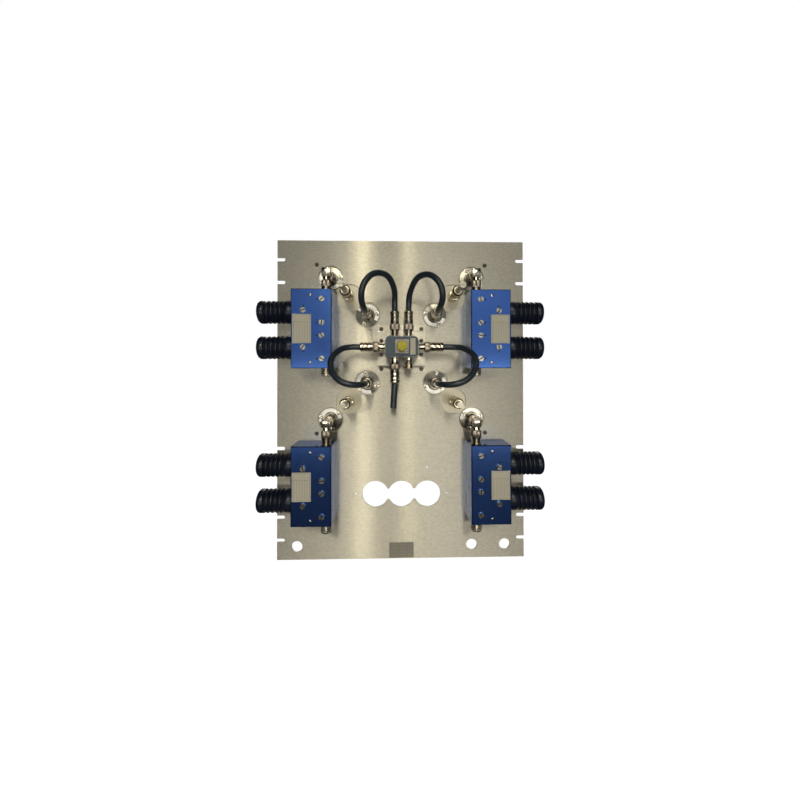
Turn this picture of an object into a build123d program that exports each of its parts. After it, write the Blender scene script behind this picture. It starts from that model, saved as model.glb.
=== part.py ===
"""Rack-mount RF combiner: a 19-inch panel with four cavity filters behind it, four dual isolators on its
front and a star junction in the middle. Millimetres, X to the right, Z up, the viewer looks along +Y.
The origin is the middle of the panel's rear face, which lies on the rack's rails."""

import os
from math import cos, pi, radians, tan

from build123d import *

# Rack panel
RACK_UNIT = 44.45
PANEL_UNITS = 14
PANEL_GAP = 0.8
PANEL_WIDTH = 482.6
PANEL_THICKNESS = 3.2
NOTCH_WIDTH = 7.1
NOTCH_DEPTH = 15.0
NOTCH_FROM_END = 37.7
NOTCH_UNITS = (0, 1, 4)
SERVICE_HOLE = 21.0
SERVICE_HOLE_INSET = 38.5
SERVICE_HOLE_RISE = 25.3
PILOT_HOLE = 4.0
PILOT_HOLES = ((10.0, -19.0), (50.4, -133.9))

# Places of the cavities and the form of their cut-outs
CAVITY_MIDDLE = 98.6
SPARE_RISE = 125.65
LOBE_DIAMETER = 50.8
LOBE_PITCH = 50.8
NECK_WIDTH = 20.6
CAVITY_SCREW_REACH = 88.9
SCREW_HOLE = 4.6

# Cavity filters
CAN_DIAMETER = 198.0
CAN_GAP = 6.0
CAN_WALL = 1.6
CAN_DEPTH = 230.0
END_PLATE_THICKNESS = 6.4
END_PLATE_FIT = 0.1
LOOP_BORE = 30.0
INNER_DIAMETER = 50.8
INNER_WALL = 2.0
INNER_LENGTH = 110.0
ROD_DIAMETER = 9.5
ROD_LENGTH = 239.0
ROD_CLEARANCE = 0.05
ROD_TIP_DIAMETER = 11.0
ROD_TIP_LENGTH = 5.0
ROD_SLOT_WIDTH = 1.6
ROD_SLOT_DEPTH = 2.0
PLUNGER_LENGTH = 60.0
PLUNGER_GAP = 0.3
BUSHING_HEX = 20.0
BUSHING_HEX_TOP = 22.0
BUSHING_BARREL = 15.0
BUSHING_TOP = 42.0
LOCK_NUT_DIAMETER = 20.0
LOCK_NUT_LENGTH = 16.0
LOCK_NUT_BEVEL = 3.0

# Coupling loops
LOOP_PLATE_DIAMETER = 46.0
LOOP_PLATE_THICKNESS = 3.0
LOOP_HUB_DIAMETER = 26.0
LOOP_HUB_HEIGHT = 3.0
STRIP_WIDTH = 8.0
STRIP_THICKNESS = 2.0
STRIP_SPAN = 12.0
STRIP_DEPTH = 50.0
INPUT_LOOP_TURNS = (8.0, -3.0, 43.0, 17.0)
OUTPUT_LOOP_TURNS = (8.0, 54.0, -16.0, 79.0)
CLAMP_SCREW_CIRCLE = 37.8
CLAMP_HEAD_DIAMETER = 6.5
CLAMP_HEAD_HEIGHT = 2.6

# Coaxial connectors
THREAD_DIAMETER = 15.9
JACK_REACH = 11.0
NUT_DIAMETER = 17.8
NUT_SKIRT = 2.5
NUT_BAND_DIAMETER = 18.8
NUT_BAND = 12.0
PLUG_SKIRT = 1.6
PLUG_BAND = 9.9
PLUG_BODY_DIAMETER = 16.3
PLUG_BODY_LENGTH = 18.5
CLAMP_NUT_DIAMETER = 17.4
CLAMP_NUT_LENGTH = 7.0
ELBOW_NECK_DIAMETER = 12.6
ELBOW_NECK_LENGTH = 6.6
ELBOW_BLOCK = 15.2

# Isolators
HOUSING_WIDTH = 73.1
HOUSING_HEIGHT = 144.2
HOUSING_DEPTH = 50.8
HOUSING_BEVEL = 1.4
HOUSING_JACK_INSET = 11.2
UPPER_DROP = 31.8
LOWER_DROP = 40.6
JACK_FLANGE_DIAMETER = 19.0
JACK_FLANGE_THICKNESS = 2.2
INPUT_JACK_LENGTH = 12.0
CAP_DIAMETER = 20.0
CAP_LENGTH = 15.0
CAP_WALL = 1.7
LOAD_DIAMETER = 42.4
LOAD_NECK = 14.5
LOAD_GROOVES = 5
LOAD_PITCH = 8.2
LOAD_GROOVE_DEPTH = 3.4
LOAD_GROOVE_WIDTH = 5.2
LOAD_LENGTH = 64.4
LOAD_BEVEL_LENGTH = 2.6
LOAD_TIP_DIAMETER = 37.0
LOADS_DOWN = (39.4, 105.6)
TUNING_SCREW_DIAMETER = 10.4
TUNING_SCREW_HEIGHT = 2.8
TUNING_SCREWS = ((56.0, 18.6), (56.0, 61.2), (56.0, 84.4), (56.0, 126.4), (22.5, 39.2), (22.5, 105.8))
COVER_SCREW_DIAMETER = 5.5
COVER_SCREW_HEIGHT = 1.0
COVER_SCREWS = ((34.8, 11.4), (34.8, 133.7))
LABEL_THICKNESS = 0.4
LABEL_WIDTH = 34.0
LABEL_HEIGHT = 52.5
LABEL_INSET = 2.6
LABEL_DOWN = 46.2

# Junction
BRACKET_SHEET = 2.0
BRACKET_BEND = 0.8
BRACKET_HEIGHT = 12.0
BRACKET_SIDE = 16.9
BRACKET_SCREW_EDGE = 7.1
BRACKET_SCREW_GAP = 0.4
BLOCK_WIDTH = 58.6
BLOCK_HEIGHT = 36.4
BLOCK_DEPTH = 38.0
BLOCK_CORNER = 3.5
BLOCK_RISE = 1.8
BLOCK_OFFSET = 0.4
PORT_PITCH = 26.0
NARROW_FLANGE = 22.0
WIDE_FLANGE = 25.4
FLANGE_THICKNESS = 2.0
JACK_NECK_DIAMETER = 12.7
PORT_REACH = 12.5
PORT_JACK_THREAD = 10.0
PORT_JACK_NECK = 10.0
PLATEAU_SCREW_EDGE = 7.9
PLATEAU_SCREW_PITCH = 27.0
FRONT_CAP_DIAMETER = 18.0
FRONT_CAP_LENGTH = 11.0
FRONT_CAP_WALL = 0.9
FRONT_LABEL = (9.5, 30.0)
FRONT_LABEL_X = 20.0
PANEL_LABEL = (48.0, 30.0)
PANEL_LABEL_RISE = 16.45

# Screws
SCREW_DIAMETER = 4.2
SCREW_HEAD_DIAMETER = 7.8
SCREW_HEAD_HEIGHT = 3.4

# Jumper cables: straight start, corners of (x, height above the panel, z), straight end
CABLE_DIAMETER = 10.8
JUMPER_ROUTES = {
    "upper_left": (
        17.0,
        ((-12.4, 44.3, 206.1), (-24.2, 66.7, 226.6), (-49.6, 84.6, 225.5), (-66.7, 93.8, 201.7), (-70.0, 88.1, 178.6)),
        22.5,
    ),
    "upper_right": (
        15.0,
        ((15.5, 41.5, 202.5), (26.7, 66.0, 223.3), (48.9, 83.0, 224.1), (65.6, 93.8, 204.4), (70.4, 89.9, 180.1)),
        23.0,
    ),
    "lower_left": (
        15.0,
        ((-111.1, 41.0, 97.5), (-126.1, 64.1, 78.3), (-122.7, 76.0, 56.8), (-107.3, 87.4, 38.6), (-83.9, 88.9, 31.8)),
        24.0,
    ),
    "lower_right": (
        17.0,
        ((114.0, 42.5, 98.5), (131.6, 66.5, 82.5), (129.0, 78.5, 58.0), (110.5, 88.0, 39.1), (86.0, 89.5, 31.9)),
        24.0,
    ),
}
STUB_DIAMETER = 11.6
STUB_LENGTH = 48.0
STUB_LEAN = 3.6
STUB_BEVEL = 1.5

PANEL_HEIGHT = PANEL_UNITS * RACK_UNIT - PANEL_GAP
DIAGONAL = cos(radians(45))
SPARE_Z = SPARE_RISE - PANEL_HEIGHT / 2
PANEL_LABEL_Z = PANEL_LABEL_RISE - PANEL_HEIGHT / 2
CAVITY_SPACING = CAN_DIAMETER + CAN_GAP
BRACKET_SCREW_X = CAVITY_SPACING / 2 - CAVITY_SCREW_REACH * DIAGONAL
BRACKET_SPAN = BLOCK_WIDTH + 2 * BRACKET_SIDE
BRACKET_REACH = 2 * (BRACKET_SCREW_X + BRACKET_SCREW_EDGE)
BRACKET_PLATEAU = 2 * (BRACKET_SCREW_X - SCREW_HEAD_DIAMETER / 2 - BRACKET_SCREW_GAP - BRACKET_BEND)
PLATEAU_SCREWS = (BRACKET_SPAN - 2 * PLATEAU_SCREW_EDGE, PLATEAU_SCREW_PITCH)
COUPLING_NUT = ((NUT_DIAMETER, NUT_SKIRT), (NUT_BAND_DIAMETER, NUT_BAND))
PLUG_NUT = ((NUT_DIAMETER, PLUG_SKIRT), (NUT_BAND_DIAMETER, PLUG_BAND))
CABLE_PLUG = (*PLUG_NUT, (PLUG_BODY_DIAMETER, PLUG_BODY_LENGTH), (CLAMP_NUT_DIAMETER, CLAMP_NUT_LENGTH))
PLUG_LENGTH = sum(length for _, length in CABLE_PLUG)
ELBOW_REACH = NUT_SKIRT + NUT_BAND + ELBOW_NECK_LENGTH + ELBOW_BLOCK / 2

# Heights are measured from the panel's front face towards the viewer
LOOP_PLATE_TOP = LOOP_PLATE_THICKNESS - PANEL_THICKNESS
JACK_AXIS_HEIGHT = LOOP_PLATE_TOP + JACK_REACH + ELBOW_REACH
BLOCK_AXIS_HEIGHT = BRACKET_HEIGHT + BLOCK_DEPTH / 2
BLOCK_Z = CAVITY_MIDDLE + BLOCK_RISE
INPUT_X = CAVITY_SPACING / 2 + LOBE_PITCH * DIAGONAL
HOUSING_X = INPUT_X - HOUSING_JACK_INSET + HOUSING_WIDTH / 2

# Sideways and upwards senses of each channel, and how far its tuning rod stands out
CORNERS = {"upper_left": (-1, 1), "upper_right": (1, 1), "lower_left": (-1, -1), "lower_right": (1, -1)}
ROD_TIP_HEIGHTS = {"upper_left": 103.5, "upper_right": 99.5, "lower_left": 80.0, "lower_right": 76.0}

os.makedirs("parts", exist_ok=True)


def facing(x, z, height):
    """A plane parallel to the panel at a height above its front, looking at the viewer."""
    return Plane((x, -PANEL_THICKNESS - height, z), x_dir=(1, 0, 0), z_dir=(0, -1, 0))


def inward(x, z, depth):
    """A plane at a depth behind the panel's rear face, looking away from the viewer."""
    return Plane((x, depth, z), x_dir=(1, 0, 0), z_dir=(0, 1, 0))


def upright(x, z, height, sense):
    """A level plane at a height above the panel, looking up or down."""
    return Plane((x, -PANEL_THICKNESS - height, z), x_dir=(1, 0, 0), z_dir=(0, 0, sense))


def sideways(x, z, height, sense):
    """An upright plane across the panel, looking right or left."""
    return Plane((x, -PANEL_THICKNESS - height, z), x_dir=(0, 1, 0), z_dir=(sense, 0, 0))


def cavity_place(corner):
    """The middle of a corner's cavity."""
    across, up = CORNERS[corner]
    return across * CAVITY_SPACING / 2, CAVITY_MIDDLE + up * CAVITY_SPACING / 2


def along_cavity(corner, reach):
    """A place on the diagonal of a corner's cavity, outwards from its middle."""
    across, up = CORNERS[corner]
    x, z = cavity_place(corner)
    return x + across * reach * DIAGONAL, z + up * reach * DIAGONAL


def housing_top(corner):
    """The height of a corner's isolator's upper end."""
    drop = UPPER_DROP if CORNERS[corner][1] > 0 else LOWER_DROP
    return along_cavity(corner, LOBE_PITCH)[1] - drop


def stack(*rings, bore=0.0):
    """Corners of a half section: rings of (diameter, length) that stand on each other round a bore."""
    height = 0.0
    corners = [(bore / 2, height)]
    for diameter, length in rings:
        corners.append((diameter / 2, height))
        height += length
        corners.append((diameter / 2, height))
    corners.append((bore / 2, height))
    return corners


def turned(base, outline):
    """Turns a half section about the normal of its base plane, in the part being built."""
    with BuildSketch(Plane(base.origin, x_dir=base.x_dir, z_dir=-base.y_dir)) as half:
        with BuildLine():
            Polyline(*outline, close=True)
        make_face()
    return revolve(half.sketch, axis=Axis(base.origin, base.z_dir))


def notch_rows():
    """Heights of the open notches, the same from both ends of the panel."""
    down = [PANEL_HEIGHT / 2 - NOTCH_FROM_END - units * RACK_UNIT for units in NOTCH_UNITS]
    return down + [-z for z in down]


def build_panel():
    """The brushed plate with its rack notches, lobed cut-outs and holes."""
    lobed = [(*cavity_place(corner), 45 * across * up) for corner, (across, up) in CORNERS.items()]
    lobed.append((0, SPARE_Z, 0))
    with BuildPart() as panel:
        with BuildSketch(Plane.XZ):
            Rectangle(PANEL_WIDTH, PANEL_HEIGHT)
            for z in notch_rows():
                with GridLocations(PANEL_WIDTH, 0, 2, 1), Locations((0, z)):
                    SlotOverall(2 * NOTCH_DEPTH, NOTCH_WIDTH, mode=Mode.SUBTRACT)
            for x, z, turn in lobed:
                with Locations(Location((x, z), turn)):
                    Rectangle(2 * LOBE_PITCH, NECK_WIDTH, mode=Mode.SUBTRACT)
                    with GridLocations(LOBE_PITCH, 0, 3, 1):
                        Circle(LOBE_DIAMETER / 2, mode=Mode.SUBTRACT)
                    with GridLocations(2 * CAVITY_SCREW_REACH, 0, 2, 1):
                        Circle(SCREW_HOLE / 2, mode=Mode.SUBTRACT)
            edge = PANEL_WIDTH / 2 - SERVICE_HOLE_INSET
            with Locations(*[(x, SERVICE_HOLE_RISE - PANEL_HEIGHT / 2) for x in (-edge, INPUT_X, edge)]):
                Circle(SERVICE_HOLE / 2, mode=Mode.SUBTRACT)
            with Locations(*PILOT_HOLES):
                Circle(PILOT_HOLE / 2, mode=Mode.SUBTRACT)
        extrude(amount=PANEL_THICKNESS)
    panel.part.label = "rack_panel"
    export_step(panel.part, "parts/rack_panel.step")


def build_cavity_can(corner):
    """A spun can, closed at its far end."""
    x, z = cavity_place(corner)
    inside = CAN_DIAMETER - 2 * CAN_WALL
    with BuildPart() as can:
        turned(inward(x, z, 0), stack((CAN_DIAMETER, CAN_DEPTH - CAN_WALL), bore=inside))
        turned(inward(x, z, CAN_DEPTH - CAN_WALL), stack((CAN_DIAMETER, CAN_WALL)))
    can.part.label = f"{corner}_cavity_can"
    export_step(can.part, f"parts/{can.part.label}.step")


def build_end_plate(corner):
    """The cavity's front plate, bored for the tuning bushing and both loops."""
    x, z = cavity_place(corner)
    across, up = CORNERS[corner]
    with BuildPart() as plate:
        with BuildSketch(inward(x, z, 0)):
            Circle(CAN_DIAMETER / 2 - CAN_WALL - END_PLATE_FIT)
            Circle(BUSHING_BARREL / 2 + ROD_CLEARANCE, mode=Mode.SUBTRACT)
            with Locations(Rotation(0, 0, -45 * across * up)), GridLocations(2 * LOBE_PITCH, 0, 2, 1):
                Circle(LOOP_BORE / 2, mode=Mode.SUBTRACT)
        extrude(amount=END_PLATE_THICKNESS)
    plate.part.label = f"{corner}_end_plate"
    export_step(plate.part, f"parts/{plate.part.label}.step")


def build_tuning_rod(corner):
    """The rod that a screwdriver or fingers push, with the plunger on its inner end."""
    x, z = cavity_place(corner)
    tip = facing(x, z, ROD_TIP_HEIGHTS[corner])
    root = Plane(tip.origin, x_dir=tip.x_dir, z_dir=-tip.z_dir)
    plunger = INNER_DIAMETER - 2 * INNER_WALL - 2 * PLUNGER_GAP
    shaft = ROD_LENGTH - ROD_TIP_LENGTH - PLUNGER_LENGTH
    with BuildPart() as rod:
        turned(root, stack((ROD_TIP_DIAMETER, ROD_TIP_LENGTH), (ROD_DIAMETER, shaft), (plunger, PLUNGER_LENGTH)))
        with BuildSketch(tip):
            Rectangle(ROD_TIP_DIAMETER, ROD_SLOT_WIDTH)
        extrude(amount=-ROD_SLOT_DEPTH, mode=Mode.SUBTRACT)
    rod.part.label = f"{corner}_tuning_rod"
    export_step(rod.part, f"parts/{rod.part.label}.step")


def build_tuning_seats():
    """The inner conductors behind the end plates, and the bushings and lock nuts before them."""
    with BuildPart() as conductors:
        for corner in CORNERS:
            tube = stack((INNER_DIAMETER, INNER_LENGTH), bore=INNER_DIAMETER - 2 * INNER_WALL)
            turned(inward(*cavity_place(corner), END_PLATE_THICKNESS), tube)
    conductors.part.label = "inner_conductors"
    export_step(conductors.part, "parts/inner_conductors.step")

    bore = ROD_DIAMETER + 2 * ROD_CLEARANCE
    barrel = END_PLATE_THICKNESS + PANEL_THICKNESS + BUSHING_TOP
    with BuildPart() as bushings:
        for corner in CORNERS:
            x, z = cavity_place(corner)
            with BuildSketch(facing(x, z, -PANEL_THICKNESS)):
                RegularPolygon(BUSHING_HEX / 2, 6, major_radius=False)
            extrude(amount=PANEL_THICKNESS + BUSHING_HEX_TOP)
            turned(facing(x, z, BUSHING_TOP - barrel), stack((BUSHING_BARREL, barrel)))
            with Locations(facing(x, z, BUSHING_TOP)):
                Hole(bore / 2, barrel)
    bushings.part.label = "tuning_bushings"
    export_step(bushings.part, "parts/tuning_bushings.step")

    with BuildPart() as nuts:
        for corner in CORNERS:
            straight = LOCK_NUT_LENGTH - LOCK_NUT_BEVEL
            outline = stack((LOCK_NUT_DIAMETER, straight), bore=bore)[:-1]
            outline += [(LOCK_NUT_DIAMETER / 2 - LOCK_NUT_BEVEL, LOCK_NUT_LENGTH), (bore / 2, LOCK_NUT_LENGTH)]
            turned(facing(*cavity_place(corner), BUSHING_TOP), outline)
    nuts.part.label = "lock_nuts"
    export_step(nuts.part, "parts/lock_nuts.step")


def build_loops(name, reach):
    """Loop plates with their jacks, and the strips that hang from them inside the cavities."""
    jack = JACK_REACH - LOOP_HUB_HEIGHT
    rings = ((LOOP_PLATE_DIAMETER, LOOP_PLATE_THICKNESS), (LOOP_HUB_DIAMETER, LOOP_HUB_HEIGHT))
    with BuildPart() as loops:
        for corner, (across, up) in CORNERS.items():
            x, z = along_cavity(corner, reach)
            turned(facing(x, z, -PANEL_THICKNESS), stack(*rings, (THREAD_DIAMETER, jack)))
            outwards = Vector(across, 0, up).normalized() * (1 if reach > 0 else -1)
            strip_plane = Plane((x, 0, z), x_dir=outwards, z_dir=outwards.cross(Vector(0, 1, 0)))
            with BuildSketch(strip_plane) as strip:
                with Locations((STRIP_SPAN / 2, STRIP_DEPTH / 2)):
                    Rectangle(STRIP_SPAN + STRIP_THICKNESS, STRIP_DEPTH)
                with Locations((STRIP_SPAN / 2, (STRIP_DEPTH - STRIP_THICKNESS) / 2)):
                    Rectangle(STRIP_SPAN - STRIP_THICKNESS, STRIP_DEPTH - STRIP_THICKNESS, mode=Mode.SUBTRACT)
            extrude(amount=STRIP_WIDTH / 2, both=True)
    loops.part.label = name
    export_step(loops.part, f"parts/{name}.step")


def build_clamp_screws():
    """Three cheese-head screws on the rim of each loop plate."""
    with BuildPart() as screws:
        for reach, turns in ((LOBE_PITCH, INPUT_LOOP_TURNS), (-LOBE_PITCH, OUTPUT_LOOP_TURNS)):
            for corner, turn in zip(CORNERS, turns):
                with BuildSketch(facing(*along_cavity(corner, reach), LOOP_PLATE_TOP)):
                    with PolarLocations(CLAMP_SCREW_CIRCLE / 2, 3, start_angle=turn):
                        Circle(CLAMP_HEAD_DIAMETER / 2)
                extrude(amount=CLAMP_HEAD_HEIGHT)
    screws.part.label = "loop_clamp_screws"
    export_step(screws.part, "parts/loop_clamp_screws.step")


def build_cavity_screws():
    """Two screws hold each cavity to the panel. The inner ones hold the junction's bracket too."""
    with BuildPart() as screws:
        for corner in CORNERS:
            for reach, seat in ((CAVITY_SCREW_REACH, 0.0), (-CAVITY_SCREW_REACH, BRACKET_SHEET)):
                foot = facing(*along_cavity(corner, reach), -PANEL_THICKNESS)
                shank = PANEL_THICKNESS + seat
                turned(foot, stack((SCREW_DIAMETER, shank), (SCREW_HEAD_DIAMETER, SCREW_HEAD_HEIGHT)))
    screws.part.label = "cavity_screws"
    export_step(screws.part, "parts/cavity_screws.step")


def build_elbow_adapters():
    """Right-angle adapters from the input loops down to the isolators."""
    nut_and_neck = (*COUPLING_NUT, (ELBOW_NECK_DIAMETER, ELBOW_NECK_LENGTH))
    with BuildPart() as adapters:
        for corner in CORNERS:
            x, z = along_cavity(corner, LOBE_PITCH)
            turned(facing(x, z, JACK_AXIS_HEIGHT - ELBOW_REACH), stack(*nut_and_neck))
            turned(upright(x, z - ELBOW_REACH, JACK_AXIS_HEIGHT, 1), stack(*nut_and_neck))
            with BuildSketch(facing(x, z, JACK_AXIS_HEIGHT - ELBOW_BLOCK / 2)):
                Rectangle(ELBOW_BLOCK, ELBOW_BLOCK)
            extrude(amount=ELBOW_BLOCK)
    adapters.part.label = "elbow_adapters"
    export_step(adapters.part, "parts/elbow_adapters.step")


def build_housing(corner):
    """An isolator's closed aluminium housing."""
    x = CORNERS[corner][0] * HOUSING_X
    z = housing_top(corner) - HOUSING_HEIGHT / 2
    with BuildPart() as housing:
        with BuildSketch(facing(x, z, 0)):
            Rectangle(HOUSING_WIDTH, HOUSING_HEIGHT)
        extrude(amount=HOUSING_DEPTH)
        chamfer(housing.faces().sort_by(Axis.Y)[0].edges(), HOUSING_BEVEL)
    housing.part.label = f"{corner}_isolator"
    export_step(housing.part, f"parts/{housing.part.label}.step")


def build_isolator_labels():
    """A plate on each isolator's front, near its outer side."""
    with BuildPart() as labels:
        for corner, (across, _) in CORNERS.items():
            x = across * (HOUSING_X + HOUSING_WIDTH / 2 - LABEL_INSET - LABEL_WIDTH / 2)
            z = housing_top(corner) - LABEL_DOWN - LABEL_HEIGHT / 2
            with BuildSketch(facing(x, z, HOUSING_DEPTH)):
                Rectangle(LABEL_WIDTH, LABEL_HEIGHT)
            extrude(amount=LABEL_THICKNESS)
    labels.part.label = "isolator_labels"
    export_step(labels.part, "parts/isolator_labels.step")


def build_isolator_jacks():
    """Output jacks on the isolators' upper ends, input jacks and their caps on the lower ends."""
    with BuildPart() as outputs:
        for corner in CORNERS:
            x, z = along_cavity(corner, LOBE_PITCH)
            top = housing_top(corner)
            thread = z - ELBOW_REACH - top - JACK_FLANGE_THICKNESS
            rings = ((JACK_FLANGE_DIAMETER, JACK_FLANGE_THICKNESS), (THREAD_DIAMETER, thread))
            turned(upright(x, top, JACK_AXIS_HEIGHT, 1), stack(*rings))
    outputs.part.label = "isolator_output_jacks"
    export_step(outputs.part, "parts/isolator_output_jacks.step")

    bottoms = [(along_cavity(corner, LOBE_PITCH)[0], housing_top(corner) - HOUSING_HEIGHT) for corner in CORNERS]
    with BuildPart() as inputs:
        for x, z in bottoms:
            turned(upright(x, z, JACK_AXIS_HEIGHT, -1), stack((THREAD_DIAMETER, INPUT_JACK_LENGTH)))
    inputs.part.label = "isolator_input_jacks"
    export_step(inputs.part, "parts/isolator_input_jacks.step")

    with BuildPart() as caps:
        for x, z in bottoms:
            wall = CAP_DIAMETER - 2 * CAP_WALL
            turned(upright(x, z, JACK_AXIS_HEIGHT, -1), stack((CAP_DIAMETER, CAP_LENGTH - CAP_WALL), bore=wall))
            turned(upright(x, z - CAP_LENGTH + CAP_WALL, JACK_AXIS_HEIGHT, -1), stack((CAP_DIAMETER, CAP_WALL)))
    caps.part.label = "input_jack_caps"
    export_step(caps.part, "parts/input_jack_caps.step")


def load_outline():
    """Half section of a dummy load: plain neck, grooved cooling fins and a bevelled tip."""
    radius = LOAD_DIAMETER / 2
    corners = [(0, 0), (radius, 0)]
    for groove in range(LOAD_GROOVES):
        start = LOAD_NECK + groove * LOAD_PITCH
        corners.append((radius, start))
        corners.append((radius - LOAD_GROOVE_DEPTH, start + LOAD_GROOVE_WIDTH / 2))
        corners.append((radius, start + LOAD_GROOVE_WIDTH))
    corners.append((radius, LOAD_LENGTH - LOAD_BEVEL_LENGTH))
    corners.append((LOAD_TIP_DIAMETER / 2, LOAD_LENGTH))
    corners.append((0, LOAD_LENGTH))
    return corners


def build_loads():
    """Two finned dummy loads on the outer side of each isolator."""
    with BuildPart() as loads:
        for corner, (across, _) in CORNERS.items():
            side = across * (HOUSING_X + HOUSING_WIDTH / 2)
            for down in LOADS_DOWN:
                turned(sideways(side, housing_top(corner) - down, HOUSING_DEPTH / 2, across), load_outline())
    loads.part.label = "dummy_loads"
    export_step(loads.part, "parts/dummy_loads.step")


def build_face_screws(name, places, diameter, height):
    """Screw heads on each isolator's front, placed from its outer side and its top."""
    with BuildPart() as screws:
        for corner, (across, _) in CORNERS.items():
            for inset, down in places:
                x = across * (HOUSING_X + HOUSING_WIDTH / 2 - inset)
                with BuildSketch(facing(x, housing_top(corner) - down, HOUSING_DEPTH)):
                    Circle(diameter / 2)
                extrude(amount=height)
    screws.part.label = name
    export_step(screws.part, f"parts/{name}.step")


def build_bracket():
    """A hat-section bracket, folded from one sheet, that carries the junction block."""
    edge = BRACKET_REACH / 2
    wall = BRACKET_PLATEAU / 2 - BRACKET_SHEET
    lift = BRACKET_HEIGHT - BRACKET_SHEET
    outer_bend = BRACKET_BEND + BRACKET_SHEET
    profile = [(-edge, 0), (-wall, 0), (-wall, lift), (wall, lift), (wall, 0), (edge, 0)]
    side = Plane((-BRACKET_SPAN / 2, -PANEL_THICKNESS, CAVITY_MIDDLE), x_dir=(0, 0, 1), z_dir=(1, 0, 0))
    with BuildPart() as bracket:
        with BuildSketch(side):
            with BuildLine():
                folded = FilletPolyline(*profile, radius=[outer_bend, BRACKET_BEND, BRACKET_BEND, outer_bend])
                offset(folded, BRACKET_SHEET, side=Side.LEFT)
            make_face()
        extrude(amount=BRACKET_SPAN)
        with BuildSketch(facing(0, CAVITY_MIDDLE, 0)):
            with GridLocations(0, 2 * BRACKET_SCREW_X, 1, 2):
                SlotCenterToCenter(2 * BRACKET_SCREW_X, SCREW_HEAD_DIAMETER + BRACKET_SCREW_GAP)
        extrude(amount=BRACKET_SHEET)
        with BuildSketch(facing(0, CAVITY_MIDDLE, 0)):
            for corner in CORNERS:
                x, z = along_cavity(corner, -CAVITY_SCREW_REACH)
                with Locations((x, z - CAVITY_MIDDLE)):
                    Circle(SCREW_HOLE / 2)
        extrude(amount=BRACKET_SHEET, mode=Mode.SUBTRACT)
        with BuildSketch(facing(0, BLOCK_Z, BRACKET_HEIGHT)):
            with GridLocations(*PLATEAU_SCREWS, 2, 2):
                Circle(SCREW_HOLE / 2)
        extrude(amount=-BRACKET_SHEET, mode=Mode.SUBTRACT)
    bracket.part.label = "junction_bracket"
    export_step(bracket.part, "parts/junction_bracket.step")

    with BuildPart() as screws:
        head = (SCREW_HEAD_DIAMETER, SCREW_HEAD_HEIGHT)
        for place in GridLocations(*PLATEAU_SCREWS, 2, 2):
            x, z = place.position.X, BLOCK_Z + place.position.Y
            turned(facing(x, z, BRACKET_HEIGHT - BRACKET_SHEET), stack((SCREW_DIAMETER, BRACKET_SHEET), head))
    screws.part.label = "bracket_screws"
    export_step(screws.part, "parts/bracket_screws.step")


def build_junction():
    """The junction block with its ports, the cap on the front port and the label strip."""
    front = BRACKET_HEIGHT + BLOCK_DEPTH
    with BuildPart() as block:
        with BuildSketch(facing(BLOCK_OFFSET, BLOCK_Z, BRACKET_HEIGHT)) as outline:
            Rectangle(BLOCK_WIDTH, BLOCK_HEIGHT)
            chamfer(outline.vertices(), BLOCK_CORNER)
        extrude(amount=BLOCK_DEPTH)
    block.part.label = "junction_block"
    export_step(block.part, "parts/junction_block.step")

    with BuildPart() as jacks:
        for port in side_ports():
            with BuildSketch(port):
                Rectangle(NARROW_FLANGE if port.z_dir.X == 0 else WIDE_FLANGE, WIDE_FLANGE)
            extrude(amount=FLANGE_THICKNESS)
        for port in side_ports()[:5]:
            turned(port, stack((THREAD_DIAMETER, PORT_REACH)))
        open_jack = stack((JACK_NECK_DIAMETER, FLANGE_THICKNESS + PORT_JACK_NECK), (THREAD_DIAMETER, PORT_JACK_THREAD))
        turned(side_ports()[5], open_jack)
        with BuildSketch(facing(BLOCK_OFFSET, BLOCK_Z, front)):
            Rectangle(WIDE_FLANGE, WIDE_FLANGE)
        extrude(amount=FLANGE_THICKNESS)
        turned(facing(BLOCK_OFFSET, BLOCK_Z, front), open_jack)
    jacks.part.label = "junction_jacks"
    export_step(jacks.part, "parts/junction_jacks.step")

    with BuildPart() as cap:
        end = front + FLANGE_THICKNESS + PORT_JACK_NECK + PORT_JACK_THREAD
        wall = FRONT_CAP_DIAMETER - 2 * FRONT_CAP_WALL
        rim = FRONT_CAP_LENGTH - FRONT_CAP_WALL
        turned(facing(BLOCK_OFFSET, BLOCK_Z, end - rim), stack((FRONT_CAP_DIAMETER, rim), bore=wall))
        turned(facing(BLOCK_OFFSET, BLOCK_Z, end), stack((FRONT_CAP_DIAMETER, FRONT_CAP_WALL)))
    cap.part.label = "junction_cap"
    export_step(cap.part, "parts/junction_cap.step")

    with BuildPart() as strip:
        with BuildSketch(facing(BLOCK_OFFSET + FRONT_LABEL_X, BLOCK_Z, front)):
            Rectangle(*FRONT_LABEL)
        extrude(amount=LABEL_THICKNESS)
    strip.part.label = "junction_label"
    export_step(strip.part, "parts/junction_label.step")

    with BuildPart() as plate:
        with BuildSketch(facing(0, PANEL_LABEL_Z, 0)):
            Rectangle(*PANEL_LABEL)
        extrude(amount=LABEL_THICKNESS)
    plate.part.label = "panel_label"
    export_step(plate.part, "parts/panel_label.step")


def side_ports():
    """Planes of the six side ports: two up, left, right, and two down."""
    half_width, half_height, half_pitch = BLOCK_WIDTH / 2, BLOCK_HEIGHT / 2, PORT_PITCH / 2
    level, middle = BLOCK_AXIS_HEIGHT, BLOCK_OFFSET
    ports = [upright(middle + x, BLOCK_Z + half_height, level, 1) for x in (-half_pitch, half_pitch)]
    ports += [sideways(middle + sense * half_width, BLOCK_Z, level, sense) for sense in (-1, 1)]
    ports += [upright(middle + x, BLOCK_Z - half_height, level, -1) for x in (-half_pitch, half_pitch)]
    return ports


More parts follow.
